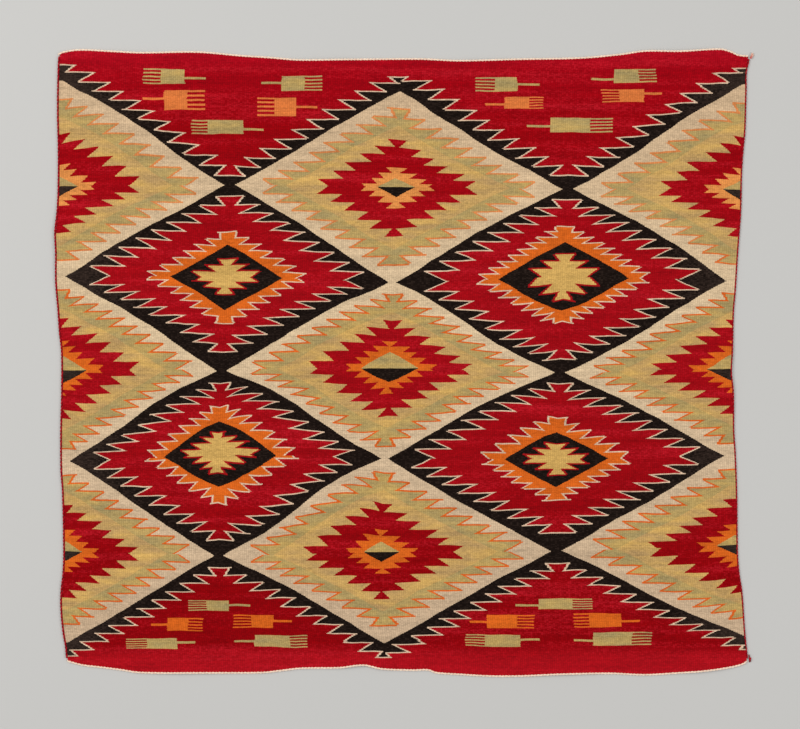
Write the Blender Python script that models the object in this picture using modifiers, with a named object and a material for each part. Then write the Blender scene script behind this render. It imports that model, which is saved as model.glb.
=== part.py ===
"""Tapestry-woven wool blanket, laid out flat.

The weft-faced cloth is one sheet with the wavy outline that such a handwoven blanket has.
A light twisted cord runs along each end, a red one along each side, and at the right hand
corners the cords finish in a short light tuft and a small red knot.

Frame: X along the blanket's long way, Y up the pattern, Z up from the surface it lies on.
The origin is under the middle of the blanket, on that surface.
"""

import math

import bmesh
import bpy
import numpy as np

MM = 0.001

CLOTH_THICKNESS_MM = 2.5
END_CORD_DIAMETER_MM = 4.0
LEFT_CORD_DIAMETER_MM = 4.4
RIGHT_CORD_DIAMETER_MM = 3.6
CORD_GAP_MM = 0.5
SIDE_CORD_TRIM_MM = 4.0

CLOTH_COLUMNS = 44
CLOTH_ROWS = 34
OUTLINE_PASSES = 6

# The outer line of the upper end, cord included: place along the end and height, in mm.
TOP_END = (
    # x_mm, y_mm
    (-704, 625.6),
    (-692, 631.7),
    (-658, 636.6),
    (-597, 633.8),
    (-536, 630.7),
    (-445, 632.5),
    (-404, 631.5),
    (-333, 625.0),
    (-272, 621.0),
    (-211, 616.1),
    (-110, 616.9),
    (32, 618.1),
    (114, 614.5),
    (236, 617.7),
    (357, 620.2),
    (438, 627.3),
    (489, 634.2),
    (560, 633.6),
    (641, 638.0),
    (662, 633.2),
    (678, 626.1),
    (700, 623.6),
)

# The outer line of the lower end.
BOTTOM_END = (
    # x_mm, y_mm
    (-686, -605.5),
    (-675, -609.6),
    (-651, -615.7),
    (-619, -619.4),
    (-576, -624.8),
    (-536, -630.5),
    (-414, -631.1),
    (-288, -630.7),
    (-252, -626.9),
    (-211, -622.2),
    (-130, -620.6),
    (-97, -616.1),
    (-77, -615.7),
    (-45, -623.0),
    (16, -625.8),
    (49, -625.4),
    (65, -630.9),
    (114, -634.4),
    (175, -637.8),
    (236, -637.6),
    (317, -633.8),
    (418, -632.3),
    (489, -635.2),
    (560, -631.1),
    (611, -627.1),
    (664, -619.4),
    (688, -612.9),
    (698, -605.5),
)

# The outer line of the left side: height and place across, in mm.
LEFT_SIDE = (
    # y_mm, x_mm
    (-605, -686.1),
    (-577, -688.2),
    (-547, -693.2),
    (-506, -697.3),
    (-466, -697.5),
    (-425, -693.2),
    (-384, -691.8),
    (-262, -694.3),
    (-222, -697.3),
    (-141, -697.9),
    (-60, -696.1),
    (22, -696.3),
    (62, -700.6),
    (103, -703.2),
    (164, -708.1),
    (225, -708.1),
    (265, -709.7),
    (306, -705.4),
    (346, -703.4),
    (428, -702.8),
    (509, -704.4),
    (590, -703.4),
    (629, -701.3),
)

# The outer line of the right side.
RIGHT_SIDE = (
    # y_mm, x_mm
    (-605, 698.3),
    (-587, 696.9),
    (-547, 692.8),
    (-466, 687.0),
    (-425, 680.9),
    (-384, 678.0),
    (-262, 676.4),
    (-181, 673.4),
    (-141, 670.7),
    (-60, 669.5),
    (-19, 665.6),
    (22, 667.7),
    (103, 669.9),
    (144, 673.4),
    (225, 678.6),
    (306, 684.5),
    (387, 686.5),
    (428, 689.2),
    (468, 693.0),
    (549, 695.5),
    (590, 696.3),
    (612, 701.0),
    (621, 701.6),
)

# Low swells, where the cloth's edge doesn't lie quite flat. Each one runs in from its edge.
SWELLS = (
    # edge, place_mm, half_width_mm, reach_mm, lift_mm
    ("top", -560, 105, 110, 2.0),
    ("top", -150, 120, 130, 2.6),
    ("top", 150, 105, 100, 2.0),
    ("top", 560, 110, 120, 2.6),
    ("bottom", -450, 110, 110, 2.4),
    ("bottom", -85, 90, 140, 3.2),
    ("bottom", 320, 120, 120, 2.6),
    ("bottom", 610, 90, 100, 2.6),
    ("left", 240, 120, 110, 2.2),
    ("right", -20, 130, 100, 2.0),
)

# The light tuft at the upper right corner and the red knot at the lower right one.
CORNER_ENDS = (
    # node, colour, start_xy_mm, end_xy_mm, start_radius_mm, end_radius_mm
    ("corner_tuft", "tuft", (704.6, 618.2), (708.0, 627.0), 1.9, 2.3),
    ("corner_knot", "red_cord", (701.8, -596.4), (702.0, -607.0), 2.8, 2.2),
)
CORNER_END_POINTS = 6

COLOURS = {
    # name: (red, green, blue), roughness
    "cloth": ((0.32, 0.02, 0.03), 0.92),
    "light_cord": ((0.72, 0.62, 0.48), 0.9),
    "red_cord": ((0.42, 0.02, 0.03), 0.88),
    "tuft": ((0.78, 0.62, 0.55), 0.9),
}


def smooth_line(stations, place):
    """Height of the smooth line through the stations at one place (Catmull-Rom)."""
    places = [row[0] for row in stations]
    heights = [row[1] for row in stations]
    place = min(max(place, places[0]), places[-1])
    last = len(stations) - 1
    i = min(int(np.searchsorted(places, place, side="right")) - 1, last - 1)
    span = places[i + 1] - places[i]
    before, after = max(i - 1, 0), min(i + 2, last)
    slope_in = (heights[i + 1] - heights[before]) / (places[i + 1] - places[before])
    slope_out = (heights[after] - heights[i]) / (places[after] - places[i])
    u = (place - places[i]) / span
    return (
        heights[i] * (2 * u**3 - 3 * u**2 + 1)
        + slope_in * span * (u**3 - 2 * u**2 + u)
        + heights[i + 1] * (3 * u**2 - 2 * u**3)
        + slope_out * span * (u**3 - u**2)
    )


def cloth_point(across, up):
    """Plan position of a point of the cloth in mm; across and up run from 0 to 1."""
    left_inset = LEFT_CORD_DIAMETER_MM + CORD_GAP_MM
    right_inset = RIGHT_CORD_DIAMETER_MM + CORD_GAP_MM
    end_inset = END_CORD_DIAMETER_MM + CORD_GAP_MM
    x, y = 0.0, 0.0
    for _ in range(OUTLINE_PASSES):
        left = smooth_line(LEFT_SIDE, y) + left_inset
        right = smooth_line(RIGHT_SIDE, y) - right_inset
        x = left + (right - left) * across
        bottom = smooth_line(BOTTOM_END, x) + end_inset
        top = smooth_line(TOP_END, x) - end_inset
        y = bottom + (top - bottom) * up
    return x, y


def lift(x, y):
    """Height of the cloth's underside above the surface, in mm: zero all over the middle."""
    total = 0.0
    for edge, place, half_width, reach, height in SWELLS:
        if edge in ("top", "bottom"):
            along = x - place
            inward = smooth_line(TOP_END, x) - y if edge == "top" else y - smooth_line(BOTTOM_END, x)
        else:
            along = y - place
            inward = x - smooth_line(LEFT_SIDE, y) if edge == "left" else smooth_line(RIGHT_SIDE, y) - x
        if abs(along) < half_width and inward < reach:
            fall = 0.5 + 0.5 * math.cos(math.pi * along / half_width)
            fade = 0.5 + 0.5 * math.cos(math.pi * max(inward, 0.0) / reach)
            total += height * fall * fade
    return total


def make_material(name):
    colour, roughness = COLOURS[name]
    material = bpy.data.materials.new(name)
    material.use_nodes = True
    shader = material.node_tree.nodes["Principled BSDF"]
    shader.inputs["Base Color"].default_value = (*colour, 1.0)
    shader.inputs["Roughness"].default_value = roughness
    shader.inputs["Metallic"].default_value = 0.0
    return material


def make_cloth(collection, material):
    """The woven sheet: a grid drawn out to the blanket's outline, then given its thickness."""
    mesh = bpy.data.meshes.new("blanket_cloth")
    cloth = bpy.data.objects.new("blanket_cloth", mesh)
    collection.objects.link(cloth)
    grid = bmesh.new()
    bmesh.ops.create_grid(grid, x_segments=CLOTH_COLUMNS, y_segments=CLOTH_ROWS, size=0.5)
    for vertex in grid.verts:
        x, y = cloth_point(vertex.co.x + 0.5, vertex.co.y + 0.5)
        vertex.co = (x * MM, y * MM, lift(x, y) * MM)
    grid.to_mesh(mesh)
    grid.free()
    mesh.shade_smooth()
    mesh.materials.append(material)
    thickness = cloth.modifiers.new("thickness", "SOLIDIFY")
    thickness.thickness = CLOTH_THICKNESS_MM * MM
    thickness.offset = 1.0
    return cloth


def make_cord(collection, name, material, points, radii_mm):
    """A round cord through the given centre points, in mm, with closed ends."""
    curve = bpy.data.curves.new(name, "CURVE")
    curve.dimensions = "3D"
    curve.bevel_depth = MM
    curve.bevel_resolution = 2
    curve.use_fill_caps = True
    spline = curve.splines.new("POLY")
    spline.points.add(len(points) - 1)
    for target, point, radius in zip(spline.points, points, radii_mm):
        target.co = (point[0] * MM, point[1] * MM, point[2] * MM, 1.0)
        target.radius = radius
    curve.materials.append(material)
    cord = bpy.data.objects.new(name, curve)
    collection.objects.link(cord)
    return cord


def make_end_cord(collection, name, material, stations, up):
    """A cord along one end of the blanket, from side to side past the side cords."""
    radius = END_CORD_DIAMETER_MM / 2
    inward = -radius if up else radius
    places = [stations[0][0] + radius]
    places += [cloth_point(i / CLOTH_COLUMNS, up)[0] for i in range(CLOTH_COLUMNS + 1)]
    places += [stations[-1][0] - radius]
    points = []
    for x in places:
        y = smooth_line(stations, x) + inward
        points.append((x, y, lift(x, y) + radius))
    return make_cord(collection, name, material, points, [radius] * len(points))


def make_side_cord(collection, name, material, across, diameter):
    """A cord along one side of the blanket, between the end cords."""
    radius = diameter / 2
    outward = (radius + CORD_GAP_MM) * (1 if across else -1)
    points = []
    for j in range(CLOTH_ROWS + 1):
        x, y = cloth_point(across, j / CLOTH_ROWS)
        if j == 0:
            y += SIDE_CORD_TRIM_MM
        if j == CLOTH_ROWS:
            y -= SIDE_CORD_TRIM_MM
        x += outward
        points.append((x, y, lift(x, y) + radius))
    return make_cord(collection, name, material, points, [radius] * len(points))


def make_corner_end(collection, name, material, start, end, start_radius, end_radius):
    """A short stub of yarn lying at a corner, a little fuller in its middle."""
    points = []
    radii = []
    for i in range(CORNER_END_POINTS):
        along = i / (CORNER_END_POINTS - 1)
        radius = start_radius + (end_radius - start_radius) * along
        radius *= 0.8 + 0.2 * math.sin(math.pi * along)
        x = start[0] + (end[0] - start[0]) * along
        y = start[1] + (end[1] - start[1]) * along
        points.append((x, y, radius))
        radii.append(radius)
    return make_cord(collection, name, material, points, radii)


def main():
    for old in list(bpy.data.objects):
        bpy.data.objects.remove(old, do_unlink=True)
    collection = bpy.data.collections.new("wool_blanket")
    bpy.context.scene.collection.children.link(collection)
    materials = {name: make_material(name) for name in COLOURS}

    make_cloth(collection, materials["cloth"])
    make_end_cord(collection, "end_cord_top", materials["light_cord"], TOP_END, 1)
    make_end_cord(collection, "end_cord_bottom", materials["light_cord"], BOTTOM_END, 0)
    make_side_cord(collection, "side_cord_left", materials["red_cord"], 0, LEFT_CORD_DIAMETER_MM)
    make_side_cord(collection, "side_cord_right", materials["red_cord"], 1, RIGHT_CORD_DIAMETER_MM)
    for name, colour, start, end, start_radius, end_radius in CORNER_ENDS:
        make_corner_end(collection, name, materials[colour], start, end, start_radius, end_radius)


main()
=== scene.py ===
"""The looks of the tapestry-woven wool blanket: ribbed cloth, twisted cords and loose yarn ends.

Lengths are in millimetres until they reach a mesh, and X, Y and Z are those of the solids.
"""

import math

import bpy
import numpy as np
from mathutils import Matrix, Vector


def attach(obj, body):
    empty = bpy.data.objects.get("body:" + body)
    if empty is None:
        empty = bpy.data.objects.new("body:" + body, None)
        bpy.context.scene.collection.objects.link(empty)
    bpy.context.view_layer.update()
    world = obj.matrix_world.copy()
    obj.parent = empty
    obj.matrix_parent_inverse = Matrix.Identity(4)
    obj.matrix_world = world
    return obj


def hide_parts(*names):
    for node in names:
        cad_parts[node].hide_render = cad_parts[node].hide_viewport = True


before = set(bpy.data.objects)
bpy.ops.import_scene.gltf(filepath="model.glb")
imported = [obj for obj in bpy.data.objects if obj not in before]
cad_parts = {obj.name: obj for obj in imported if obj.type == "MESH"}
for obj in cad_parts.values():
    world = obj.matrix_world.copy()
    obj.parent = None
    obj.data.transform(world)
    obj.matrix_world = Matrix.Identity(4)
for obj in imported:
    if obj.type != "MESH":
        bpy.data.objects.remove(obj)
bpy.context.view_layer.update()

MM = 0.001

# The cloth and its edge cords, as in the solids.
CLOTH_THICKNESS_MM = 2.5
END_CORD_DIAMETER_MM = 4.0
LEFT_CORD_DIAMETER_MM = 4.4
RIGHT_CORD_DIAMETER_MM = 3.6
SIDE_CORD_TRIM_MM = 4.0
OUTLINE_PASSES = 6

# The cloth's edge tucks this far into the round of the cord beside it.
EDGE_TUCK_MM = 0.6

TOP_END = (
    # x_mm, y_mm
    (-704, 625.6),
    (-692, 631.7),
    (-658, 636.6),
    (-597, 633.8),
    (-536, 630.7),
    (-445, 632.5),
    (-404, 631.5),
    (-333, 625.0),
    (-272, 621.0),
    (-211, 616.1),
    (-110, 616.9),
    (32, 618.1),
    (114, 614.5),
    (236, 617.7),
    (357, 620.2),
    (438, 627.3),
    (489, 634.2),
    (560, 633.6),
    (641, 638.0),
    (662, 633.2),
    (678, 626.1),
    (700, 623.6),
)
BOTTOM_END = (
    # x_mm, y_mm
    (-686, -605.5),
    (-675, -609.6),
    (-651, -615.7),
    (-619, -619.4),
    (-576, -624.8),
    (-536, -630.5),
    (-414, -631.1),
    (-288, -630.7),
    (-252, -626.9),
    (-211, -622.2),
    (-130, -620.6),
    (-97, -616.1),
    (-77, -615.7),
    (-45, -623.0),
    (16, -625.8),
    (49, -625.4),
    (65, -630.9),
    (114, -634.4),
    (175, -637.8),
    (236, -637.6),
    (317, -633.8),
    (418, -632.3),
    (489, -635.2),
    (560, -631.1),
    (611, -627.1),
    (664, -619.4),
    (688, -612.9),
    (698, -605.5),
)
LEFT_SIDE = (
    # y_mm, x_mm
    (-605, -686.1),
    (-577, -688.2),
    (-547, -693.2),
    (-506, -697.3),
    (-466, -697.5),
    (-425, -693.2),
    (-384, -691.8),
    (-262, -694.3),
    (-222, -697.3),
    (-141, -697.9),
    (-60, -696.1),
    (22, -696.3),
    (62, -700.6),
    (103, -703.2),
    (164, -708.1),
    (225, -708.1),
    (265, -709.7),
    (306, -705.4),
    (346, -703.4),
    (428, -702.8),
    (509, -704.4),
    (590, -703.4),
    (629, -701.3),
)
RIGHT_SIDE = (
    # y_mm, x_mm
    (-605, 698.3),
    (-587, 696.9),
    (-547, 692.8),
    (-466, 687.0),
    (-425, 680.9),
    (-384, 678.0),
    (-262, 676.4),
    (-181, 673.4),
    (-141, 670.7),
    (-60, 669.5),
    (-19, 665.6),
    (22, 667.7),
    (103, 669.9),
    (144, 673.4),
    (225, 678.6),
    (306, 684.5),
    (387, 686.5),
    (428, 689.2),
    (468, 693.0),
    (549, 695.5),
    (590, 696.3),
    (612, 701.0),
    (621, 701.6),
)
SWELLS = (
    # edge, place_mm, half_width_mm, reach_mm, lift_mm
    ("top", -560, 105, 110, 2.0),
    ("top", -150, 120, 130, 2.6),
    ("top", 150, 105, 100, 2.0),
    ("top", 560, 110, 120, 2.6),
    ("bottom", -450, 110, 110, 2.4),
    ("bottom", -85, 90, 140, 3.2),
    ("bottom", 320, 120, 120, 2.6),
    ("bottom", 610, 90, 100, 2.6),
    ("left", 240, 120, 110, 2.2),
    ("right", -20, 130, 100, 2.0),
)

# The weave: warp ribs side by side across the cloth, and the weft beaten down over them.
RIBS = 318
COLUMNS_PER_RIB = 4
TOP_ROWS = 48
UNDERSIDE_ROWS = TOP_ROWS // 2
RIB_RELIEF_MM = 0.55
RIB_PITCH_MM = 4.36
PICK_PITCH_MM = 0.95

# Size of the wool's unevenness along and across the weft, and how much each kind lightens or
# darkens the colour. The last two tones are painted shade, not unevenness of the wool: the colour
# is darker in the valleys between the warp ribs and between the weft picks.
BAND_GRAIN_MM = (620, 24)
STREAK_GRAIN_MM = (150, 2.1)
MOTTLE_GRAIN_MM = (11, 5)
DYE_GRAIN_MM = (70, 18)
OUTLINE_GRAIN_MM = (170, 60)
WANDER_GRAIN_MM = (80, 50)
FIBRE_GRAIN_MM = (1.6, 0.35)
BAND_TONE = 0.36
STREAK_TONE = 0.42
MOTTLE_TONE = 0.3
DYE_TONE = 0.12
SPECKLE_TONE = 0.22
RIB_VALLEY_SHADE_TONE = 0.27
PICK_VALLEY_SHADE_TONE = 0.12

# Where the corners and middles of the diamonds lie. The columns are numbered p = 0 to 4 from the
# left and the rows q = 0 to 6 from the top. A red diamond has p odd and q even, a cream one p
# even and q odd, and where both are even or both odd four diamonds meet.
LATTICE_MM = (
    ((-690, 567), (-353, 559), (-8, 546), (333, 555), (688, 560)),
    ((-700, 357), (-353, 361), (-16, 356), (332, 353), (686, 351)),
    ((-693, 174), (-361, 173), (-22, 162), (325, 175), (662, 166)),
    ((-702, -15), (-371, -17), (-29, -10), (316, -22), (676, -11)),
    ((-685, -200), (-378, -185), (-40, -194), (308, -196), (655, -188)),
    ((-686, -382), (-376, -392), (-47, -384), (310, -382), (672, -370)),
    ((-682, -563), (-361, -563), (-40, -566), (325, -558), (690, -550)),
)
LATTICE_PASSES = 12

# How far the middle of each lattice cell lies above the straight, and how that leans sideways.
BOWS_MM = (
    # middle_mm and lean_mm of the four cells of a row
    ((11, -13), (-2, 12), (-9, 0), (0, 18)),
    ((5, -7), (2, -8), (3, 0), (8, 4)),
    ((8, 0), (7, 6), (-10, -19), (-6, 15)),
    ((1, 15), (5, -24), (9, 11), (5, -2)),
    ((-6, -8), (0, 27), (-3, 1), (-3, -5)),
    ((-2, 3), (4, -3), (2, 0), (-6, -13)),
)
HALF_WIDTH_MM = 338.0
HALF_HEIGHT_MM = 188.0

# The toothed zones, a row for each half of a diamond from the top down. A pair holds the values
# of the left and the right half of the cloth. The points of the middle teeth reach tip from the
# diamond's middle and each further row drop less; the rows are step high, the middle one up to
# first, and the notches depth deep.
RED_ZONES = (
    # tip_mm, drop_mm, step_mm, first_mm, rows, depth_mm
    ((283, 284), (30.8, 30.0), (19.0, 18.5), (18.3, 13.8), 9, 31.0),
    ((285, 280), (31.4, 30.6), 18.0, 21.5, 9, 37.5),
    ((284, 278), (31.2, 30.0), (16.6, 17.1), (18, 23), 9, 37.5),
    ((279, 286), 31.7, (17.7, 18.2), (19, 20), 9, 37.5),
    ((281, 287), 30.7, (17.5, 16.8), (19, 18), 9, 36.5),
    ((286, 296), (32.0, 29.6), (18.2, 16.8), (16.9, 11.2), (9, 10), 29.5),
)
RING_ZONES = (
    # tip_mm, drop_mm, step_mm, first_mm, rows
    ((165, 175), (23.7, 18.8), (13.4, 12.1), (13.0, 11.5), (7, 9)),
    ((166, 174), (23.6, 21.6), (14.3, 11.3), 9.0, (7, 8)),
    ((163, 148), (23.5, 25.0), (14.9, 15.6), (16, 13), (7, 6)),
    ((165, 148), (24.0, 19.6), (14.0, 12.2), (6, 12), 7),
)
STAR_ZONES = (
    # tip_mm, drop_mm, step_mm, first_mm, rows
    ((75, 74), (25, 24), (12.2, 15.3), (15, 20), 3),
    ((72, 74), (23.0, 24.5), (13.0, 15.5), (10.0, 14.5), 3),
    ((89, 70), (23, 21), (11.8, 12.5), (13.5, 11.0), (4, 3)),
    ((80, 71), (19, 23), (11.0, 12.3), (4.5, 10.0), (4, 3)),
)
RING_MIDDLES = (
    # half_width_mm, half_height_mm
    ((115, 130), (67, 74)),
    ((115, 130), 66),
    ((120, 102), (74, 60)),
    ((120, 102), (61, 58)),
)
SAGE_ZONES = (
    # tip_mm, drop_mm, step_mm, first_mm, rows
    (279, 31.4, 17.9, 15.5, 9),
    (278, 30.0, 16.9, 20.0, 9),
    (281, 28.4, 16.0, 19.0, 10),
    (284, 28.6, 16.5, 15.0, 10),
    (278, 31.4, 17.0, 24.0, 9),
    (280, 31.2, 17.1, 18.5, 9),
)
HEART_ZONES = (
    # tip_mm, drop_mm, step_mm, first_mm, rows
    (160, 28.3, 16.1, 15.0, 6),
    (162, 28.8, 16.1, 16.0, 6),
    (165, 29.2, 17.6, 15.5, 6),
    (163, 28.5, 17.6, 12.0, 6),
    (162, 28.6, 16.6, 13.5, 6),
    (158, 27.8, 16.5, 16.0, 6),
)
SPARK_ZONES = (
    # tip_mm, drop_mm, step_mm, first_mm, rows
    (73, 18.0, 10.7, 6.5, 4),
    (73, 18.0, 11.0, 7.5, 4),
    (91, 18.5, 12.4, 9.0, 5),
    (88, 18.5, 11.8, 5.0, 5),
    (72, 18.5, 12.0, 7.5, 4),
    (72, 18.7, 11.0, 11.0, 4),
)
SPARK_MIDDLES = (
    # half_width_mm, half_height_mm
    (37, 18),
    (37, 20),
    (58, 35),
    (58, 30),
    (37, 20),
    (37, 20),
)
YELLOW_HALF_WIDTH_MM = 225.0
YELLOW_HALF_HEIGHT_MM = 124.0

# Beyond this line, at the two ends, the cloth is plain red. It lies outside the lattice.
END_LINE_MM = -34.0

# Comb figures in the four end triangles. The tines point to the right (1) or the left (-1).
COMBS = (
    # colour, tines_to, x_mm, y_mm, length_mm, height_mm, tines_mm, handle_mm, handle_off_mm
    ("sage", -1, -468, 581, 47, 30, 37, 43, -3),
    ("sage", 1, -225, 567, 45, 30, 37, 41, 1),
    ("orange", 1, -464, 533, 47, 40, 36, 43, 3),
    ("orange", -1, -241, 519, 43, 37, 35, 43, 0),
    ("sage", -1, -362, 478, 71, 28, 32, 41, -5),
    ("sage", -1, 206, 564, 47, 28, 39, 44, 0),
    ("sage", 1, 451, 582, 50, 28, 36, 45, -6),
    ("orange", 1, 230, 527, 51, 24, 28, 40, -3),
    ("orange", -1, 462, 542, 51, 26, 36, 36, 4),
    ("sage", 1, 337, 482, 81, 30, 45, 47, -3),
    ("sage", -1, -378, -493, 45, 22, 37, 44, 1),
    ("orange", 1, -459, -531, 41, 26, 29, 33, 0),
    ("orange", -1, -288, -525, 45, 26, 37, 39, 1),
    ("sage", -1, -491, -569, 61, 20, 43, 37, 2),
    ("sage", 1, -267, -565, 71, 24, 35, 41, -1),
    ("sage", 1, 307, -489, 69, 22, 41, 47, -3),
    ("orange", 1, 199, -525, 61, 26, 35, 35, -1),
    ("orange", -1, 408, -522, 65, 28, 32, 36, -2),
    ("sage", -1, 200, -563, 71, 24, 39, 41, 2),
    ("sage", 1, 423, -560, 79, 26, 41, 39, -3),
)
COMB_TINES = 5
COMB_TINE_SHARE = 0.43
COMB_HANDLE_MM = 4.4

# The pattern's thin lines, and what is left of a zone between the deepest notches.
WHITE_LINE_MM = 2.2
STAR_LINE_MM = 2.7
OUTLINE_MM = 3.1
NECK_MM = 6.0
THIN_NECK_MM = 3.0
RED_NECK_MM = 8.0
RING_NECK_MM = 13.0
RED_WIDEST_MM = 331.0
MOST_ROWS_OUTSIDE = 9.0

# How far the black diamonds reach along the two axes of the lattice.
BLACK_HALF_WIDTH_SHARE = 0.979
BLACK_SLOPE = 0.949

# How the pattern's lines depart from true ones.
TOOTH_JITTER_MM = 7.0
RIB_SNAP = 0.45
INTERLOCK_MM = 1.2
WANDER_MM = 11.0
WANDER_UPRIGHT = 0.7

# Twisted cords and loose yarn.
CORD_STATIONS = 1200
CORD_STEPS_PER_TURN = 16
CORD_SIDES = 8
PLY_SHARE = 0.27
END_TWIST_PITCH_MM = 13.0
SIDE_TWIST_PITCH_MM = 14.0
FIBRE_PITCH_MM = 9.0

SHARP_ANGLE_DEG = 60
MAP_MARGIN = 0.004
MAP_TOP_SHARE = 0.70

# Camera, floor and lights.
CAMERA_LENS_MM = 85.0
CAMERA_SENSOR_MM = 36.0
FRAME_WIDTH_M = 1.624
FRAME_MIDDLE_M = (-0.0081, -0.0037)
FLOOR_HALF_WIDTH_M = 6.0
FLOOR_DROP_M = -0.0003
FLOOR_COLOUR = (190, 189, 186)
WORLD_STRENGTH = 0.54
KEY_LIGHT_M = (-3.5, 1.6, 4.2)
KEY_LIGHT_SIZE_M = 3.0
KEY_LIGHT_W = 165.0
FILL_LIGHT_M = (4.0, -0.4, 4.6)
FILL_LIGHT_SIZE_M = 3.6
FILL_LIGHT_W = 125.0

# Wool colours, as sRGB values from 0 to 255.
WOOL = {
    "black": (24, 15, 11),
    "charcoal": (52, 40, 34),
    "dull_sage": (169, 149, 100),
    "warm_sage": (187, 156, 92),
    "dull_yellow": (186, 151, 100),
    "warm_yellow": (204, 164, 93),
    "gold": (206, 165, 92),
    "orange": (213, 99, 29),
    "pale_orange": (213, 131, 74),
    "deep_orange": (214, 98, 34),
    "spark_orange": (222, 142, 74),
    "faded_orange": (214, 128, 72),
    "faded_red": (182, 26, 40),
    "star_red": (160, 16, 22),
    "dull_white": (200, 166, 136),
    "bright_white": (228, 201, 172),
}
RED_BY_HEIGHT = (
    # y_mm, colour
    (-640, (175, 15, 27)),
    (-598, (171, 13, 24)),
    (-572, (143, 1, 8)),
    (-420, (143, 1, 7)),
    (-200, (155, 6, 16)),
    (150, (161, 8, 19)),
    (340, (157, 4, 15)),
    (480, (151, 1, 10)),
    (590, (159, 2, 17)),
    (640, (175, 9, 30)),
)
CREAM_BY_HEIGHT = (
    # y_mm, colour
    (-560, (198, 170, 139)),
    (-200, (208, 181, 148)),
    (60, (216, 190, 153)),
    (560, (203, 173, 138)),
)


def smooth_line(stations, place):
    """Height of the smooth line through the stations (Catmull-Rom), at one place or many."""
    places, heights = np.array(stations, dtype=float).T
    place = np.clip(place, places[0], places[-1])
    last = len(places) - 1
    i = np.clip(np.searchsorted(places, place, side="right") - 1, 0, last - 1)
    before = np.maximum(i - 1, 0)
    after = np.minimum(i + 2, last)
    span = places[i + 1] - places[i]
    slope_in = (heights[i + 1] - heights[before]) / (places[i + 1] - places[before])
    slope_out = (heights[after] - heights[i]) / (places[after] - places[i])
    u = (place - places[i]) / span
    return (
        heights[i] * (2 * u**3 - 3 * u**2 + 1)
        + slope_in * span * (u**3 - 2 * u**2 + u)
        + heights[i + 1] * (3 * u**2 - 2 * u**3)
        + slope_out * span * (u**3 - u**2)
    )


def cloth_point(across, up):
    """Plan positions of points of the cloth; across and up run from 0 to 1."""
    x = np.zeros_like(across + up)
    y = np.zeros_like(x)
    for _ in range(OUTLINE_PASSES):
        left = smooth_line(LEFT_SIDE, y) + LEFT_CORD_DIAMETER_MM - EDGE_TUCK_MM
        right = smooth_line(RIGHT_SIDE, y) - RIGHT_CORD_DIAMETER_MM + EDGE_TUCK_MM
        x = left + (right - left) * across
        bottom = smooth_line(BOTTOM_END, x) + END_CORD_DIAMETER_MM - EDGE_TUCK_MM
        top = smooth_line(TOP_END, x) - END_CORD_DIAMETER_MM + EDGE_TUCK_MM
        y = bottom + (top - bottom) * up
    return x, y


def lift(x, y):
    """Height of the cloth's underside above the surface: zero all over the middle."""
    total = np.zeros_like(x)
    for edge, place, half_width, reach, height in SWELLS:
        if edge in ("top", "bottom"):
            along = x - place
            inward = smooth_line(TOP_END, x) - y if edge == "top" else y - smooth_line(BOTTOM_END, x)
        else:
            along = y - place
            inward = x - smooth_line(LEFT_SIDE, y) if edge == "left" else smooth_line(RIGHT_SIDE, y) - x
        fall = 0.5 + 0.5 * np.cos(math.pi * np.clip(along / half_width, -1, 1))
        fade = 0.5 + 0.5 * np.cos(math.pi * np.clip(inward / reach, 0, 1))
        total += height * fall * fade
    return total


def lattice_place(x, y):
    """The place (p, q) in the lattice of diamond corners of points of the cloth."""
    corners = np.array(LATTICE_MM, dtype=float)
    bows = np.array(BOWS_MM, dtype=float)
    point = np.stack([x, y], axis=-1)
    p = 2 + x / HALF_WIDTH_MM
    q = 3 - y / HALF_HEIGHT_MM
    for _ in range(LATTICE_PASSES):
        i = np.clip(np.floor(p).astype(int), 0, corners.shape[1] - 2)
        j = np.clip(np.floor(q).astype(int), 0, corners.shape[0] - 2)
        u = (p - i)[..., None]
        v = (q - j)[..., None]
        a, b = corners[j, i], corners[j, i + 1]
        c, d = corners[j + 1, i], corners[j + 1, i + 1]
        miss = point - (a + (b - a) * u + (c - a) * v + (a - b - c + d) * u * v)
        inner_u = np.clip(u[..., 0], 0, 1)
        inner_v = np.clip(v[..., 0], 0, 1)
        middle = bows[j, i, 0] + bows[j, i, 1] * (2 * inner_u - 1)
        miss[..., 1] -= 16 * inner_u * (1 - inner_u) * inner_v * (1 - inner_v) * middle
        along_p = (b - a) + (a - b - c + d) * v
        along_q = (c - a) + (a - b - c + d) * u
        area = along_p[..., 0] * along_q[..., 1] - along_p[..., 1] * along_q[..., 0]
        p = p + (miss[..., 0] * along_q[..., 1] - miss[..., 1] * along_q[..., 0]) / area
        q = q + (along_p[..., 0] * miss[..., 1] - along_p[..., 1] * miss[..., 0]) / area
    return p, q


def linear(colour):
    """An sRGB colour from 0 to 255 as the linear red, green, blue and alpha of a shader."""
    parts = [part / 255 for part in colour]
    return (*[c / 12.92 if c <= 0.04045 else ((c + 0.055) / 1.055) ** 2.4 for c in parts], 1.0)


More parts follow.
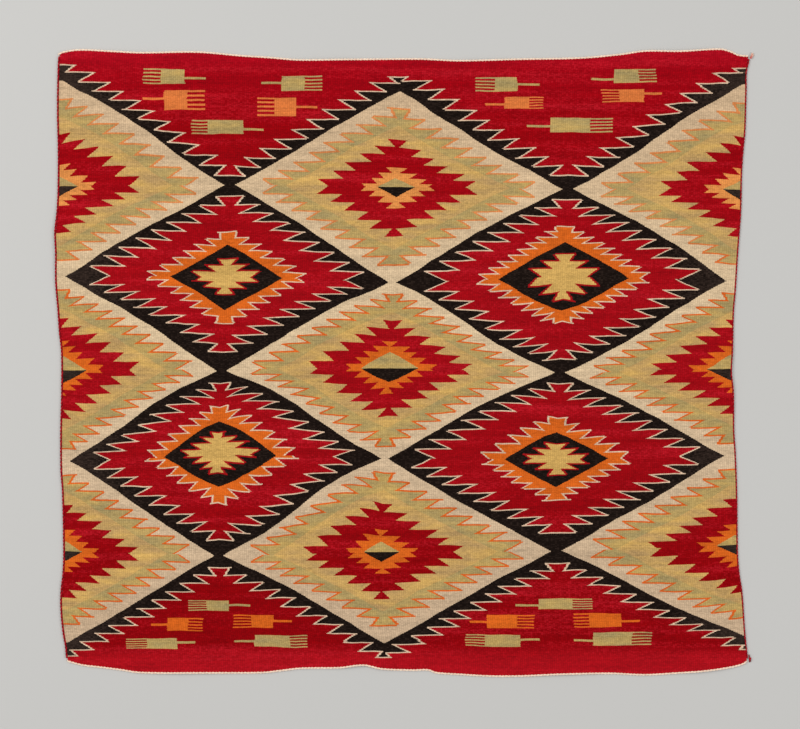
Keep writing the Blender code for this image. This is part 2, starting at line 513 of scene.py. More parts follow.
class Value:
    """A number in a shader tree. Sums, products and comparisons of it add Math nodes."""

    def __init__(self, tree, socket):
        self.tree = tree
        self.socket = socket

    def math(self, operation, *inputs):
        node = self.tree.nodes.new("ShaderNodeMath")
        node.operation = operation
        for entry, value in zip(node.inputs, inputs):
            plug(self.tree, value, entry)
        return Value(self.tree, node.outputs[0])

    def __add__(self, other):
        return self.math("ADD", self, other)

    __radd__ = __add__

    def __sub__(self, other):
        return self.math("SUBTRACT", self, other)

    def __rsub__(self, other):
        return self.math("SUBTRACT", other, self)

    def __mul__(self, other):
        return self.math("MULTIPLY", self, other)

    __rmul__ = __mul__

    def __truediv__(self, other):
        return self.math("DIVIDE", self, other)

    def __lt__(self, other):
        return self.math("LESS_THAN", self, other)

    def __gt__(self, other):
        return self.math("GREATER_THAN", self, other)

    def __and__(self, other):
        return self.math("MULTIPLY", self, other)

    def __or__(self, other):
        return self.math("MAXIMUM", self, other)

    def times_plus(self, factor, addend):
        return self.math("MULTIPLY_ADD", self, factor, addend)

    def near(self, middle, reach):
        """1 within reach of the middle, else 0."""
        return self.math("COMPARE", self, middle, reach)

    def floor(self):
        return self.math("FLOOR", self)

    def fract(self):
        return self.math("FRACT", self)

    def abs(self):
        return self.math("ABSOLUTE", self)

    def sine(self):
        return self.math("SINE", self)

    def least(self, other):
        return self.math("MINIMUM", self, other)

    def most(self, other):
        return self.math("MAXIMUM", self, other)


def plug(tree, source, entry):
    """Link a Value or a socket to an input, or set the input to a number."""
    if isinstance(source, Value):
        tree.links.new(source.socket, entry)
    elif isinstance(source, bpy.types.NodeSocket):
        tree.links.new(source, entry)
    else:
        entry.default_value = source


class Wool:
    """A wool material: its node tree, the colour painted so far, and short ways to add nodes."""

    def __init__(self, name):
        self.material = bpy.data.materials.new(name)
        self.material.use_nodes = True
        self.tree = self.material.node_tree
        self.surface = self.tree.nodes["Principled BSDF"]
        self.colour = None

    def attribute(self, name):
        node = self.tree.nodes.new("ShaderNodeAttribute")
        node.attribute_name = name
        return self.parts(node.outputs["Vector"])

    def parts(self, socket):
        node = self.tree.nodes.new("ShaderNodeSeparateXYZ")
        self.tree.links.new(socket, node.inputs[0])
        return [Value(self.tree, output) for output in node.outputs]

    def position_mm(self):
        node = self.tree.nodes.new("ShaderNodeTexCoord")
        return [part * (1 / MM) for part in self.parts(node.outputs["Object"])]

    def vector(self, x, y, z):
        node = self.tree.nodes.new("ShaderNodeCombineXYZ")
        for entry, value in zip(node.inputs, (x, y, z)):
            plug(self.tree, value, entry)
        return node.outputs[0]

    def noise(self, x, y, z=0.0, detail=2.0, roughness=0.5):
        """Smooth noise, as a value round 0.5 and as a colour of three more such values."""
        node = self.tree.nodes.new("ShaderNodeTexNoise")
        self.tree.links.new(self.vector(x, y, z), node.inputs["Vector"])
        node.inputs["Scale"].default_value = 1.0
        node.inputs["Detail"].default_value = detail
        node.inputs["Roughness"].default_value = roughness
        return Value(self.tree, node.outputs[0]), node.outputs[1]

    def grain(self, x, y, size_mm, seed=0.0, detail=2.0):
        """Smooth noise whose patches are about size_mm long and high."""
        return self.noise(x * (1 / size_mm[0]), y * (1 / size_mm[1]), seed, detail)

    def random(self, x, y, z=0.0):
        """A random number from 0 to 1 for each whole-numbered place."""
        node = self.tree.nodes.new("ShaderNodeTexWhiteNoise")
        self.tree.links.new(self.vector(x, y, z), node.inputs["Vector"])
        return Value(self.tree, node.outputs["Value"])

    def ramp(self, value, stops):
        """A colour that runs from stop to stop along a value."""
        low, high = stops[0][0], stops[-1][0]
        node = self.tree.nodes.new("ShaderNodeValToRGB")
        plug(self.tree, (value - low) * (1 / (high - low)), node.inputs[0])
        elements = node.color_ramp.elements
        for place, colour in stops[1:-1]:
            elements.new((place - low) / (high - low)).color = linear(colour)
        elements[0].color = linear(stops[0][1])
        elements[len(elements) - 1].color = linear(stops[-1][1])
        return node.outputs[0]

    def mix(self, factor, first, second, blend="MIX"):
        node = self.tree.nodes.new("ShaderNodeMix")
        node.data_type = "RGBA"
        node.blend_type = blend
        plug(self.tree, factor, node.inputs["Factor"])
        plug(self.tree, first, node.inputs[6])
        plug(self.tree, second, node.inputs[7])
        return node.outputs[2]

    def paint(self, mask, colour):
        """Lay a colour over what is painted so far, where the mask is 1."""
        self.colour = self.mix(mask, self.colour, colour)

    def shade(self, tone):
        """Make the colour lighter or darker by a factor."""
        node = self.tree.nodes.new("ShaderNodeVectorMath")
        node.operation = "SCALE"
        plug(self.tree, self.colour, node.inputs[0])
        plug(self.tree, tone, node.inputs["Scale"])
        self.colour = node.outputs[0]

    def bump(self, height, distance_mm, strength):
        node = self.tree.nodes.new("ShaderNodeBump")
        plug(self.tree, height, node.inputs["Height"])
        node.inputs["Distance"].default_value = distance_mm * MM
        node.inputs["Strength"].default_value = strength
        self.tree.links.new(node.outputs["Normal"], self.surface.inputs["Normal"])

    def finish(self, roughness, sheen):
        plug(self.tree, self.colour, self.surface.inputs["Base Color"])
        plug(self.tree, roughness, self.surface.inputs["Roughness"])
        self.surface.inputs["Specular IOR Level"].default_value = 0.05
        self.surface.inputs["Sheen Weight"].default_value = sheen
        self.surface.inputs["Sheen Roughness"].default_value = 0.3
        return self.material


def choose(mask, where_set, elsewhere):
    """One value or number where the mask is 1 and another where it is 0."""
    if isinstance(where_set, (int, float)) and where_set == elsewhere:
        return where_set
    return mask.times_plus(where_set - elsewhere, elsewhere)


class Place:
    """Where a point lies in the pattern, for choosing values out of small tables."""

    def __init__(self, p, q):
        self.right = p > 2.0
        self.below = {split: q > float(split) for split in (1, 2, 3, 4, 5)}

    def table(self, splits, *rows):
        """The row's value between two splits of q. A pair is one for each half of the cloth."""
        values = [choose(self.right, row[1], row[0]) if isinstance(row, tuple) else row for row in rows]
        chosen = values[0]
        for split, value in zip(splits, values[1:]):
            chosen = choose(self.below[split], value, chosen)
        return chosen

    def columns(self, splits, rows):
        """A value for each column of a table that has a row for each stretch of q."""
        return [self.table(splits, *column) for column in zip(*rows)]


def serrated(
    wool, across, along, cell, zone, depth, lean, line=0.0, neck=NECK_MM, seed=0.0, widest=None
):
    """Masks of a stepped diamond with toothed sides, and of the thin line all round it.

    across and along are distances from its middle, and the cell is a number for each quarter. The
    notches are depth deep, but leave a neck, and lean is about depth over step. The tips that the
    zone gives include the line. No point reaches further than widest. Outside the lattice, where
    along is negative, the rows go on outwards.
    """
    tip, drop, step, first, count = zone
    side = line * math.hypot(1, lean)
    rows = (along - first + line) / step + 1.0
    outside = along < 0.0
    row = rows.floor().most(outside * -MOST_ROWS_OUTSIDE)
    t = rows - row
    across = across + (wool.random(row, seed, cell) - 0.5) * TOOTH_JITTER_MM
    notch = row.times_plus(-1.0 * drop, tip - depth - side - lean * line)
    root = notch.most(neck)
    point = notch + depth
    line_end = point + drop + side
    if widest:
        point = point.least(widest)
        line_end = line_end.least(widest + side)
    width = t * (point - root) + root
    within = row < count - 0.5
    inside = (across < width) & within
    if not line:
        return inside, None
    beside = (across < width + side) & within
    strip = (t * step < line) & ((rows > 1.0) | outside) & (row < count + 0.5)
    beyond = (across < line_end) & strip
    return inside, beside | beyond


def paint_cream_diamonds(wool, across, along, lower, cell, place):
    """The cream diamonds' sage zone, yellow diamond, red heart and orange spark."""
    tones = wool.tones
    halves = (1, 2, 3, 4, 5)
    zone = place.columns(halves, SAGE_ZONES)
    inside, line = serrated(
        wool, across, along, cell, zone, depth=28.0, lean=1.6, line=OUTLINE_MM, seed=11.0
    )
    wool.paint(line, tones["outline"])
    wool.paint(inside, tones["sage"])
    yellow = across * (1 / YELLOW_HALF_WIDTH_MM) + along * (1 / YELLOW_HALF_HEIGHT_MM) < 1.0
    wool.paint(yellow, tones["yellow"])
    zone = place.columns(halves, HEART_ZONES)
    inside, _ = serrated(
        wool, across, along, cell, zone, depth=22.5, lean=1.3, neck=THIN_NECK_MM, seed=23.0
    )
    wool.paint(inside, tones["red"])
    zone = place.columns(halves, SPARK_ZONES)
    inside, _ = serrated(
        wool, across, along, cell, zone, depth=14.2, lean=1.3, neck=THIN_NECK_MM, seed=37.0
    )
    wool.paint(inside, tones["spark"])
    half_width, half_height = place.columns(halves, SPARK_MIDDLES)
    middle = (across / half_width + along / half_height) < 1.0
    wool.paint(middle, wool.mix(lower, tones["sage"], tones["black"]))


def paint_red_diamonds(wool, across, along, cell, q, place):
    """The black diamonds' toothed red zones and, in the four whole ones, ring and star."""
    tones = wool.tones
    *zone, depth = place.columns((1, 2, 3, 4, 5), RED_ZONES)
    inside, line = serrated(
        wool,
        across,
        along,
        cell,
        zone,
        depth,
        lean=2.0,
        line=WHITE_LINE_MM,
        neck=RED_NECK_MM,
        seed=3.0,
        widest=RED_WIDEST_MM,
    )
    wool.paint(line | (along < END_LINE_MM + WHITE_LINE_MM), tones["white"])
    wool.paint(inside | (along < END_LINE_MM), tones["red"])

    halves = (2, 3, 4)
    whole_diamond = q.near(3.0, 2.0)
    zone = place.columns(halves, RING_ZONES)
    inside, line = serrated(
        wool,
        across,
        along,
        cell,
        zone,
        depth=20.5,
        lean=1.5,
        line=WHITE_LINE_MM,
        neck=RING_NECK_MM,
        seed=51.0,
    )
    wool.paint(line & whole_diamond, tones["white"])
    wool.paint(inside & whole_diamond, tones["orange"])
    half_width, half_height = place.columns(halves, RING_MIDDLES)
    middle = (across / half_width + along / half_height) < 1.0
    wool.paint(middle & whole_diamond, tones["black"])
    zone = place.columns(halves, STAR_ZONES)
    inside, line = serrated(
        wool, across, along, cell, zone, depth=20.0, lean=1.6, line=STAR_LINE_MM, seed=67.0
    )
    wool.paint(line & whole_diamond, tones["star_red"])
    wool.paint(inside & whole_diamond, tones["gold"])


def paint_combs(wool, x, y):
    """The comb figures: a body, a row of tines on one side and a handle on the other."""
    masks = {"sage": None, "orange": None}
    for colour, tines_to, middle_x, middle_y, length, height, tines, handle, handle_off in COMBS:
        u = x.times_plus(tines_to, -middle_x * tines_to)
        v = y - float(middle_y)
        stripes = COMB_TINES - 1 + COMB_TINE_SHARE
        comb = v.times_plus(stripes / height, stripes / 2).fract() < COMB_TINE_SHARE
        comb = u.near(length / 2 + tines / 2, tines / 2) & comb
        body = (u.near(0.0, length / 2) | comb) & v.near(0.0, height / 2)
        stem = u.near(-length / 2 - handle / 2, handle / 2) & v.near(float(handle_off), COMB_HANDLE_MM / 2)
        figure = body | stem
        masks[colour] = figure if masks[colour] is None else masks[colour] | figure
    wool.paint(masks["sage"], wool.tones["sage"])
    wool.paint(masks["orange"], wool.tones["comb_orange"])


def dye_tones(wool, x, y, band, mottle, speckle, dye):
    """The colour of each dyed yarn over the cloth, with its fading, lint and dye lots."""
    tones = {name: linear(colour) for name, colour in WOOL.items()}
    fade = speckle.times_plus(0.55, band * 2.2).most(0.0).least(1.0)
    tones["red"] = wool.mix(fade, wool.ramp(y, RED_BY_HEIGHT), tones["faded_red"])
    near_sides = (x.abs() * (1 / 700)).times_plus(4.0, -3.0).most(0.0)
    lint = speckle.times_plus(0.9, near_sides).most(0.0).least(1.0)
    tones["black"] = wool.mix(lint, tones["black"], tones["charcoal"])
    tones["sage"] = wool.mix(dye, tones["dull_sage"], tones["warm_sage"])
    tones["yellow"] = wool.mix(dye, tones["dull_yellow"], tones["warm_yellow"])
    tones["white"] = wool.mix(mottle + 0.5, tones["dull_white"], tones["bright_white"])

    # The orange yarns are paler in the upper part of the cloth.
    lower_part = wool.grain(x, y, OUTLINE_GRAIN_MM, 21.0)[0] + 1.6 - y * (1 / 130)
    lower_part = lower_part.most(0.0).least(1.0)
    tones["outline"] = wool.mix(lower_part, tones["pale_orange"], tones["deep_orange"])
    top_rows = (y * (1 / 100) - 1.7).most(0.0).least(1.0)
    tones["spark"] = wool.mix(top_rows, tones["orange"], tones["spark_orange"])
    upper_half = (y * (1 / 900)).most(0.0)
    tones["comb_orange"] = wool.mix(upper_half, tones["orange"], tones["faded_orange"])
    return tones


def tapestry_wool():
    """The cloth: the pattern in dyed weft, uneven in colour, beaten close over the warp ribs."""
    wool = Wool("tapestry_wool")
    p, q, rib = wool.attribute("weave")
    x, y, _ = wool.position_mm()
    rib_number = rib.floor()
    rib_place = rib - rib_number
    pick = y.times_plus(1 / PICK_PITCH_MM, rib_number * 0.5)
    band = wool.grain(x, y, BAND_GRAIN_MM, detail=3.0)[0] - 0.5
    streak = wool.grain(x, y, STREAK_GRAIN_MM, 5.0)[0] - 0.5
    mottle = wool.grain(x, y, MOTTLE_GRAIN_MM, 9.0)[0] - 0.5
    speckle = wool.random(rib_number, (pick * 0.5).floor(), 13.0) - 0.5
    dye = wool.grain(x, y, DYE_GRAIN_MM, 27.0, detail=3.0)[0].times_plus(3.0, -1.0)
    dye = dye.most(0.0).least(1.0)

    # A colour's edge keeps near whole ribs, and its lines wander a little.
    wander = wool.parts(wool.grain(x, y, WANDER_GRAIN_MM, 2.0, detail=3.0)[1])
    interlock = wool.random(rib_number, pick.floor()) - 0.5
    shift_x = (0.5 - rib_place) * (RIB_PITCH_MM * RIB_SNAP)
    shift_x = (wander[0] - 0.5).times_plus(WANDER_MM, interlock.times_plus(INTERLOCK_MM, shift_x))
    shift_y = (wander[1] - 0.5) * (WANDER_MM * WANDER_UPRIGHT)
    p = shift_x.times_plus(1 / HALF_WIDTH_MM, p).most(0.0).least(4.0)
    q = shift_y.times_plus(-1 / HALF_HEIGHT_MM, q)

    # Fold the lattice onto one diamond of each kind.
    from_odd_p = (p * 0.5).fract().times_plus(2.0, -1.0).abs()
    past_odd_q = (q * 0.5).fract().times_plus(2.0, -1.0)
    from_odd_q = past_odd_q.abs()
    across = from_odd_p * HALF_WIDTH_MM
    along = (1.0 - from_odd_q).least(q).least(6.0 - q) * HALF_HEIGHT_MM
    cell = q.floor().times_plus(5.0, p.floor())
    place = Place(p, q)

    wool.tones = dye_tones(wool, x, y, band, mottle, speckle, dye)
    wool.colour = wool.ramp(y, CREAM_BY_HEIGHT)
    paint_cream_diamonds(
        wool, HALF_WIDTH_MM - across, from_odd_q * HALF_HEIGHT_MM, past_odd_q > 0.0, cell, place
    )
    dark = (from_odd_p + along * (BLACK_SLOPE / HALF_HEIGHT_MM)) < BLACK_HALF_WIDTH_SHARE
    wool.paint(dark, wool.tones["black"])
    paint_red_diamonds(wool, across, along, cell, q, place)
    paint_combs(wool, x + shift_x, y + shift_y)

    # Painted shade: the colour is darker in the valleys between the warp ribs and between the weft picks.
    # The same rib and pick profiles also give the bump.
    ridge = (rib_place * math.pi).sine()
    bead = (pick * math.pi).sine().abs()
    tone = band.times_plus(BAND_TONE, mottle.times_plus(MOTTLE_TONE, 0.86))
    tone = streak.times_plus(STREAK_TONE, tone)
    tone = speckle.times_plus(SPECKLE_TONE, dye.times_plus(DYE_TONE, tone - DYE_TONE / 2))
    wool.shade(tone * ridge.times_plus(RIB_VALLEY_SHADE_TONE, bead.times_plus(PICK_VALLEY_SHADE_TONE, 0.817)))
    fibre = wool.grain(x, y, FIBRE_GRAIN_MM, 3.0)[0]
    wool.bump(bead * ridge + fibre * 0.8, distance_mm=0.35, strength=0.6)
    return wool.finish(roughness=fibre.times_plus(0.12, 0.82), sheen=0.03)


def yarn_wool(name, colours, tone_depth):
    """A twisted yarn: plies of two colours, and fibres that wind round each ply. Where the second ply is
    much darker, as in the red cord, that is mostly painted shade.
    """
    wool = Wool(name)
    along, cosine, sine = wool.attribute("yarn")
    ply = wool.attribute("ply")[0]
    fibre = wool.noise(along * (1 / 5), cosine * 1.8, sine * 1.8, detail=3.0)[0]
    length = wool.noise(along * (1 / 35), ply * 7.0, 4.0)[0]
    wool.colour = wool.mix(ply, linear(colours[0]), linear(colours[1]))
    wool.shade((fibre - 0.5).times_plus(tone_depth, (length - 0.5).times_plus(0.4, 1.0)))
    wool.bump(fibre, distance_mm=0.25, strength=0.6)
    return wool.finish(roughness=fibre.times_plus(0.14, 0.8), sheen=0.15)


def tuft_wool():
    """The loose tuft: pink where it leaves the corner and pale at its ends."""
    wool = Wool("tuft_wool")
    along, cosine, sine = wool.attribute("yarn")
    fibre = wool.noise(along * (1 / 3), cosine * 2.0, sine * 2.0, detail=3.0)[0]
    wool.colour = wool.ramp(along, ((0, (196, 60, 66)), (5, (226, 160, 142)), (13, (244, 218, 196))))
    wool.shade((fibre - 0.5).times_plus(0.4, 1.0))
    wool.bump(fibre, distance_mm=0.2, strength=0.6)
    return wool.finish(roughness=fibre.times_plus(0.14, 0.8), sheen=0.15)


def new_piece(name, vertices, faces, uvs, places, material, slot, *nodes):
    """A mesh piece that rides on the blanket's body and stands for its solids."""
    mesh = bpy.data.meshes.new(name)
    mesh.from_pydata((vertices * MM).tolist(), [], faces)
    mesh.uv_layers.new(name="OFBake").data.foreach_set("uv", np.array(uvs, dtype=float).ravel())
    for key, kind, field, values in places:
        mesh.attributes.new(key, kind, "POINT").data.foreach_set(field, np.asarray(values).ravel())
    mesh.materials.append(material)
    mesh.shade_smooth()
    mesh.set_sharp_from_angle(angle=math.radians(SHARP_ANGLE_DEG))
    piece = bpy.data.objects.new(name, mesh)
    bpy.context.collection.objects.link(piece)
    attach(piece, "root")
    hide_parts(*nodes)
    return piece


def cloth_face(rows):
    """One face of the cloth as a grid: plan positions, rib relief and weave places."""
    columns = RIBS * COLUMNS_PER_RIB
    across, up = np.meshgrid(np.linspace(0, 1, columns + 1), np.linspace(0, 1, rows + 1))
    x, y = cloth_point(across, up)
    crest = np.abs(np.sin(math.pi * across * RIBS))
    crest *= 1 + 0.12 * np.sin(7.3 * across * RIBS + 0.011 * y) * np.sin(0.021 * y + 1.7 * across * RIBS)
    p, q = lattice_place(x, y)
    return x, y, RIB_RELIEF_MM * np.clip(crest, 0, 1), np.stack([p, q, across * RIBS], axis=-1)


def make_cloth(material):
    """The woven sheet, ribbed on both faces, closed by narrow rims."""
    columns = RIBS * COLUMNS_PER_RIB
    x, y, relief, weave = cloth_face(TOP_ROWS)
    top = np.stack([x, y, lift(x, y) + CLOTH_THICKNESS_MM - RIB_RELIEF_MM + relief], axis=-1)
    x, y, relief, weave_below = cloth_face(UNDERSIDE_ROWS)
    below = np.stack([x, y, lift(x, y) + RIB_RELIEF_MM - relief], axis=-1)
    vertices = np.concatenate([top.reshape(-1, 3), below.reshape(-1, 3)])
    weave = np.concatenate([weave.reshape(-1, 3), weave_below.reshape(-1, 3)])
    numbers = np.arange(len(vertices))
    upper = numbers[: top.shape[0] * top.shape[1]].reshape(top.shape[:2])
    lower = numbers[upper.size :].reshape(below.shape[:2])

    faces = np.stack([upper[:-1, :-1], upper[:-1, 1:], upper[1:, 1:], upper[1:, :-1]], axis=-1)
    faces = faces.reshape(-1, 4).tolist()
    under = np.stack([lower[:-1, :-1], lower[1:, :-1], lower[1:, 1:], lower[:-1, 1:]], axis=-1)
    under = under.reshape(-1, 4).tolist()
    rims = []
    for i in range(columns):
        rims.append([lower[0, i], lower[0, i + 1], upper[0, i + 1], upper[0, i]])
        rims.append([upper[-1, i], upper[-1, i + 1], lower[-1, i + 1], lower[-1, i]])
    for j in range(UNDERSIDE_ROWS):
        left = [upper[2 * j, 0], upper[2 * j + 1, 0], upper[2 * j + 2, 0], lower[j + 1, 0], lower[j, 0]]
        right = [upper[2 * j, -1], upper[2 * j + 1, -1], upper[2 * j + 2, -1], lower[j + 1, -1]]
        rims.append(left)
        rims.append([lower[j, -1], *reversed(right)])

    # The upper face fills most of the map, and the underside a strip below it.
    plan = vertices[:, :2] - vertices[:, :2].min(axis=0)
    plan /= plan.max(axis=0)
    upper_map = plan * (1 - 2 * MAP_MARGIN, MAP_TOP_SHARE) + (MAP_MARGIN, 1 - MAP_TOP_SHARE - MAP_MARGIN)
    under_map = plan * (1 - 2 * MAP_MARGIN, 1 - MAP_TOP_SHARE - 4 * MAP_MARGIN) + MAP_MARGIN
    outward = np.sign(plan - 0.5) * (np.abs(plan - 0.5) > 0.49) * (MAP_MARGIN / 2)
    rim_map = np.where(numbers[:, None] < upper.size, upper_map, upper_map + outward)
    uvs = np.concatenate(
        [
            upper_map[np.concatenate(faces)],
            under_map[np.concatenate(under)],
            rim_map[np.concatenate(rims)],
        ]
    )
    faces = faces + under + [[int(number) for number in rim] for rim in rims]
    places = [("weave", "FLOAT_VECTOR", "vector", weave)]
    cloth = new_piece(
        "woven_cloth", vertices, faces, uvs, places, material, "tapestry_wool", "blanket_cloth"
    )
    return cloth


def tube(points, radii, sides, share=(0.0, 1.0), ply=0.0):
    """A closed tube of yarn round a line: its vertices, faces, map and yarn places."""
    points = np.asarray(points, dtype=float)
    tangents = np.gradient(points, axis=0)
    tangents /= np.linalg.norm(tangents, axis=1)[:, None]
    normals = np.empty_like(points)
    normal = np.array([0.0, 0.0, 1.0])
    for i, tangent in enumerate(tangents):
        normal = normal - tangent * normal.dot(tangent)
        normal /= np.linalg.norm(normal)
        normals[i] = normal
    sideways = np.cross(tangents, normals)
    angles = np.arange(sides) * 2 * math.pi / sides
    ring = np.cos(angles)[None, :, None] * normals[:, None]
    ring = ring + np.sin(angles)[None, :, None] * sideways[:, None]
    vertices = points[:, None] + ring * np.asarray(radii)[:, None, None]

    steps = np.linalg.norm(np.diff(points, axis=0), axis=1)
    length = np.concatenate([[0.0], np.cumsum(steps)])
    turn = angles[None, :] + length[:, None] * 2 * math.pi / FIBRE_PITCH_MM
    yarn = np.stack([np.repeat(length[:, None], sides, axis=1), np.cos(turn), np.sin(turn)], axis=-1)

    last = len(points) - 1
    faces, uvs = [], []
    for i in range(last):
        for k in range(sides):
            turn_on = (k + 1) % sides
            here, there = i * sides, (i + 1) * sides
            faces.append([here + k, here + turn_on, there + turn_on, there + k])
            u0 = share[0] + (share[1] - share[0]) * k / (sides + 1)
            u1 = share[0] + (share[1] - share[0]) * (k + 1) / (sides + 1)
            uvs += [(u0, i / last), (u1, i / last), (u1, (i + 1) / last), (u0, (i + 1) / last)]
    for start, order in ((0, range(sides - 1, -1, -1)), (last * sides, range(sides))):
        faces.append([start + k for k in order])
        uvs += [(share[0], start / (last * sides))] * sides
    return vertices.reshape(-1, 3), faces, uvs, yarn.reshape(-1, 3), np.full(vertices[..., 0].size, ply)


def join(tubes):
    """Several tubes as the vertices, faces, map and places of one mesh."""
    vertices, faces, uvs, yarn, ply = [], [], [], [], []
    count = 0
    for part in tubes:
        vertices.append(part[0])
        faces += [[count + number for number in face] for face in part[1]]
        uvs += part[2]
        yarn.append(part[3])
        ply.append(part[4])
        count += len(part[0])
    places = [
        ("yarn", "FLOAT_VECTOR", "vector", np.concatenate(yarn)),
        ("ply", "FLOAT_VECTOR", "vector", np.repeat(np.concatenate(ply)[:, None], 3, axis=1)),
    ]
    return np.concatenate(vertices), faces, uvs, places


def even_steps(points, step):
    """Points at even steps along a line of points."""
    points = np.asarray(points, dtype=float)
    length = np.concatenate([[0.0], np.cumsum(np.linalg.norm(np.diff(points, axis=0), axis=1))])
    places = np.linspace(0, length[-1], max(int(length[-1] / step), 2))
    return np.stack([np.interp(places, length, points[:, axis]) for axis in range(3)], axis=-1), places


def twisted_cord(points, diameter, twist_pitch):
    """Two plies twisted round each other along a line that lies flat."""
    centre, length = even_steps(points, twist_pitch / CORD_STEPS_PER_TURN)
    tangents = np.gradient(centre, axis=0)
    tangents /= np.linalg.norm(tangents, axis=1)[:, None]
    sideways = np.cross([0.0, 0.0, 1.0], tangents)
    sideways /= np.linalg.norm(sideways, axis=1)[:, None]
    upward = np.cross(tangents, sideways)
    ply_radius = diameter * PLY_SHARE
    orbit = diameter / 2 - ply_radius
    ends = np.minimum(length, length[-1] - length) / (ply_radius * 2)
    radii = ply_radius * np.sqrt(np.clip(ends * (2 - ends), 0.08, 1.0) * (ends < 1) + (ends >= 1))
    uneven = 1 + 0.06 * np.sin(length / 23.0) * np.sin(length / 7.1 + 1.0)
    tubes = []
    for ply in (0, 1):
        angle = 2 * math.pi * length / twist_pitch + ply * math.pi
        around = np.cos(angle)[:, None] * sideways + np.sin(angle)[:, None] * upward
        share = (ply * 0.5, ply * 0.5 + 0.49)
        tubes.append(tube(centre + around * orbit, radii * uneven, CORD_SIDES, share, float(ply)))
    return join(tubes)


def make_end_cord(name, node, stations, up, material):
    """The light cord along one end."""
    radius = END_CORD_DIAMETER_MM / 2
    x = np.linspace(stations[0][0] + radius, stations[-1][0] - radius, CORD_STATIONS)
    y = smooth_line(stations, x) + (-radius if up else radius)
    points = np.stack([x, y, lift(x, y) + radius], axis=-1)
    vertices, faces, uvs, places = twisted_cord(points, END_CORD_DIAMETER_MM, END_TWIST_PITCH_MM)
    return new_piece(name, vertices, faces, uvs, places, material, "light_cord_wool", node)


def make_side_cord(name, node, across, diameter, material):
    """The red cord along one side, between the end cords."""
    radius = diameter / 2
    stations = RIGHT_SIDE if across else LEFT_SIDE
    ends = [cloth_point(np.array(float(across)), np.array(up))[1] for up in (0.0, 1.0)]
    y = np.linspace(ends[0] + SIDE_CORD_TRIM_MM, ends[1] - SIDE_CORD_TRIM_MM, CORD_STATIONS)
    x = smooth_line(stations, y) + (-radius if across else radius)
    points = np.stack([x, y, lift(x, y) + radius], axis=-1)
    vertices, faces, uvs, places = twisted_cord(points, diameter, SIDE_TWIST_PITCH_MM)
    return new_piece(name, vertices, faces, uvs, places, material, "red_cord_wool", node)


def bend(start, middle, end, count=14):
    """A smooth line from start to end that is drawn towards the middle point."""
    start, middle, end = (np.array(point, dtype=float) for point in (start, middle, end))
    t = np.linspace(0, 1, count)[:, None]
    return start * (1 - t) ** 2 + middle * 2 * t * (1 - t) + end * t**2


def rounded(count, radius):
    """Radii of a strand that is rounded off at both ends."""
    t = np.linspace(0, 1, count)
    return radius * np.clip(np.sin(math.pi * t) * 4, 0.3, 1.0)


TUFT_STRANDS = (
    # start_mm, middle_mm, end_mm, radius_mm
    ((702.4, 617.4, 1.3), (704.0, 624.0, 1.2), (707.0, 628.0, 0.9), 0.75),
    ((703.6, 616.8, 1.2), (706.4, 622.6, 1.0), (709.4, 627.0, 0.8), 0.7),
    ((703.0, 618.2, 2.6), (705.0, 623.6, 3.6), (708.6, 629.0, 2.0), 0.75),
    ((704.4, 617.2, 2.3), (706.8, 621.0, 3.0), (710.0, 625.2, 1.6), 0.65),
    ((703.4, 619.0, 3.4), (704.2, 624.6, 4.4), (706.0, 629.4, 2.6), 0.6),
    ((702.8, 616.2, 2.0), (705.8, 620.4, 2.2), (708.2, 624.4, 3.2), 0.7),
)
KNOT_STRANDS = (
    # start_mm, middle_mm, end_mm, radius_mm
    ((700.0, -592.0, 1.8), (700.6, -596.0, 2.2), (701.4, -599.0, 2.4), 1.1),
    ((701.2, -601.4, 1.6), (700.4, -604.6, 1.2), (701.6, -608.2, 1.0), 0.9),
    ((702.6, -601.0, 2.2), (704.0, -603.4, 1.6), (703.2, -607.2, 1.0), 0.8),
)
KNOT_MIDDLE_MM = (701.9, -600.2, 2.6)
KNOT_LOOP_MM = 0.72


def make_tuft(material):
    """The short tuft of loose strands at the upper right corner."""
    tubes = []
    for i, (start, middle, end, radius) in enumerate(TUFT_STRANDS):
        points = bend(start, middle, end)
        share = (i / len(TUFT_STRANDS), (i + 0.95) / len(TUFT_STRANDS))
        tubes.append(tube(points, rounded(len(points), radius), CORD_SIDES, share))
    vertices, faces, uvs, places = join(tubes)
    return new_piece("yarn_tuft", vertices, faces, uvs, places, material, "tuft_wool", "corner_tuft")


def make_knot(material):
    """The small knot of red cord at the lower right corner: a trefoil with its loose ends."""
    t = np.linspace(0, 2 * math.pi, 61)
    loops = np.stack([np.sin(t) + 2 * np.sin(2 * t), np.cos(t) - 2 * np.cos(2 * t), -1.3 * np.sin(3 * t)])
    points = loops.T * KNOT_LOOP_MM + KNOT_MIDDLE_MM
    shares = len(KNOT_STRANDS) + 1
    tubes = [tube(points, np.full(len(points), 1.0), CORD_SIDES, (0.0, 0.95 / shares))]
    for i, (start, middle, end, radius) in enumerate(KNOT_STRANDS):
        strand = bend(start, middle, end)
        share = ((i + 1) / shares, (i + 1.95) / shares)
        tubes.append(tube(strand, rounded(len(strand), radius), CORD_SIDES, share, 1.0))
    vertices, faces, uvs, places = join(tubes)
    return new_piece("cord_knot", vertices, faces, uvs, places, material, "red_cord_wool", "corner_knot")


def make_floor():
    """A plain pale floor under the blanket."""
    mesh = bpy.data.meshes.new("floor")
    reach = FLOOR_HALF_WIDTH_M
    corners = [(-reach, -reach), (reach, -reach), (reach, reach), (-reach, reach)]
    mesh.from_pydata([(x, y, FLOOR_DROP_M) for x, y in corners], [], [(0, 1, 2, 3)])
    floor = bpy.data.objects.new("floor", mesh)
    bpy.context.collection.objects.link(floor)
    material = bpy.data.materials.new("pale_floor")
    material.use_nodes = True
    surface = material.node_tree.nodes["Principled BSDF"]
    surface.inputs["Base Color"].default_value = linear(FLOOR_COLOUR)
    surface.inputs["Roughness"].default_value = 0.8
    mesh.materials.append(material)


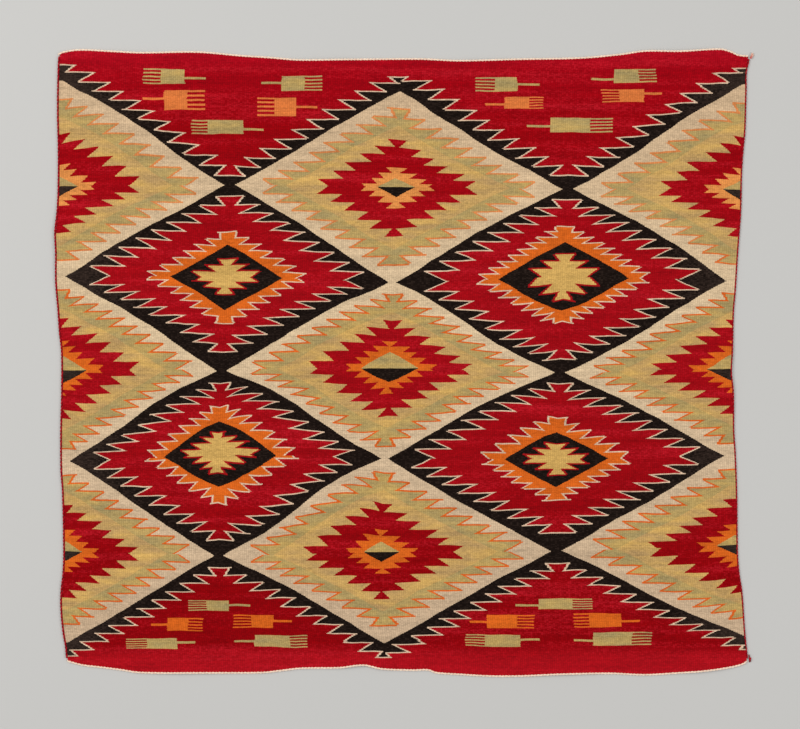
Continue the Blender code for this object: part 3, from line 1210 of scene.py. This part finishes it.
def make_light(name, place_m, size_m, power_w):
    """A large soft light that faces the blanket's middle."""
    data = bpy.data.lights.new(name, "AREA")
    data.shape = "SQUARE"
    data.size = size_m
    data.energy = power_w
    light = bpy.data.objects.new(name, data)
    light.location = place_m
    light.rotation_euler = Vector(place_m).to_track_quat("Z", "Y").to_euler()
    bpy.context.collection.objects.link(light)


def make_camera():
    """Straight above the blanket, with the top of the pattern up."""
    data = bpy.data.cameras.new("camera")
    data.lens = CAMERA_LENS_MM
    data.sensor_width = CAMERA_SENSOR_MM
    camera = bpy.data.objects.new("camera", data)
    height = CAMERA_LENS_MM / CAMERA_SENSOR_MM * FRAME_WIDTH_M
    camera.location = (FRAME_MIDDLE_M[0], FRAME_MIDDLE_M[1], height)
    bpy.context.collection.objects.link(camera)
    bpy.context.scene.camera = camera


def make_studio():
    """Even daylight from all round, and two soft lights that rake the ribs a little."""
    world = bpy.data.worlds.new("studio")
    world.use_nodes = True
    background = world.node_tree.nodes["Background"]
    background.inputs["Color"].default_value = (1.0, 1.0, 1.0, 1.0)
    background.inputs["Strength"].default_value = WORLD_STRENGTH
    bpy.context.scene.world = world
    bpy.context.scene.view_settings.view_transform = "Standard"
    make_light("key_light", KEY_LIGHT_M, KEY_LIGHT_SIZE_M, KEY_LIGHT_W)
    make_light("fill_light", FILL_LIGHT_M, FILL_LIGHT_SIZE_M, FILL_LIGHT_W)


make_camera()
tapestry = tapestry_wool()
light_cord = yarn_wool("light_cord_wool", ((244, 222, 198), (236, 205, 184)), 0.35)
# The red cord's darker second ply is mostly painted shade of the twist, and partly the plies' slightly
# different reds.
red_cord = yarn_wool("red_cord_wool", ((172, 22, 36), (128, 12, 22)), 0.5)

cloth = make_cloth(tapestry)
cords = [
    make_end_cord("twisted_cord_top", "end_cord_top", TOP_END, 1, light_cord),
    make_end_cord("twisted_cord_bottom", "end_cord_bottom", BOTTOM_END, 0, light_cord),
    make_side_cord("twisted_cord_left", "side_cord_left", 0, LEFT_CORD_DIAMETER_MM, red_cord),
    make_side_cord("twisted_cord_right", "side_cord_right", 1, RIGHT_CORD_DIAMETER_MM, red_cord),
    make_tuft(tuft_wool()),
    make_knot(red_cord),
]
make_floor()
make_studio()
